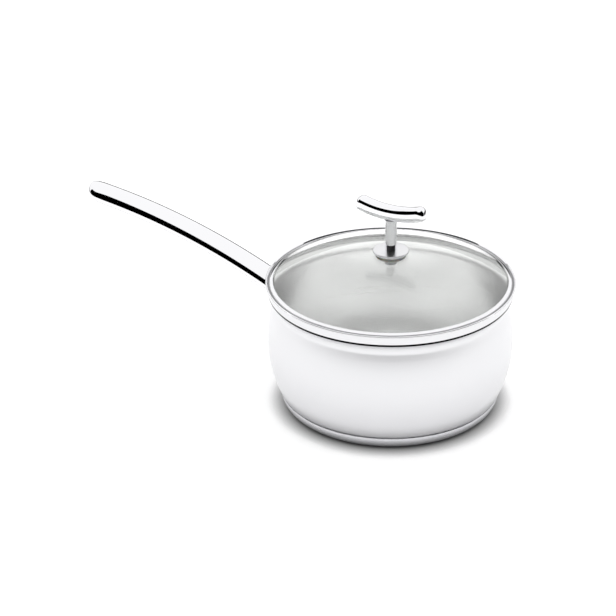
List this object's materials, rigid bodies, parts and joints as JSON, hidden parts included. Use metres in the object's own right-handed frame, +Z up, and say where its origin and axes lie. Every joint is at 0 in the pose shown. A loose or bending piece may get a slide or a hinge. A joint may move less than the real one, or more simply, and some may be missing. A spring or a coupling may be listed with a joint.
{
  "type": "saucepan",
  "caption": "Small bellied steel saucepan with a long hollow side handle and a domed glass lid that lifts off by a bar-shaped knob.",
  "frame": {"origin": "centre of the base's flat underside", "axes": "+Z up along the pot's axis, -X along the handle as seen from above, Y across the handle"},
  "size_m": [0.3157, 0.1676, 0.147],
  "materials": {
    "satin_steel": "stainless steel, satin outside and inside, rim band polished",
    "base_steel": "stainless steel, fine turned satin",
    "mirror_steel": "stainless steel, mirror polished",
    "plain_steel": "stainless steel, as stamped or turned",
    "base_aluminium": "pressed aluminium, hidden in the base",
    "lid_glass": "clear toughened glass, polished",
    "silicone": "translucent silicone rubber, matt",
    "nylon": "natural nylon"
  },
  "bodies": {
    "pot": {"pot_body": "satin_steel", "base_core": "base_aluminium", "base_skin": "base_steel", "handle_bracket": "plain_steel", "handle_lower_shell": "mirror_steel", "handle_upper_shell": "mirror_steel"},
    "lid": {"lid_glass": "lid_glass", "lid_ring": "mirror_steel", "knob_top_seal": "silicone", "knob_bush": "nylon", "knob_bottom_seal": "silicone"},
    "knob": {"knob_washer": "plain_steel", "knob_lock_washer": "plain_steel", "knob_screw": "plain_steel", "knob_foot_disc": "mirror_steel", "knob_stem": "mirror_steel", "knob_grip": "mirror_steel"}
  },
  "joints": [
    {"name": "lid_lift", "type": "slide", "parent": "pot", "child": "lid", "axis": [0, 0, 1], "range_m": [0, 0.12]},
    {"name": "knob_turn", "type": "hinge", "parent": "lid", "child": "knob", "pos_m": [0, 0, 0.11], "axis": [0, 0, 1], "continuous": true}
  ]
}
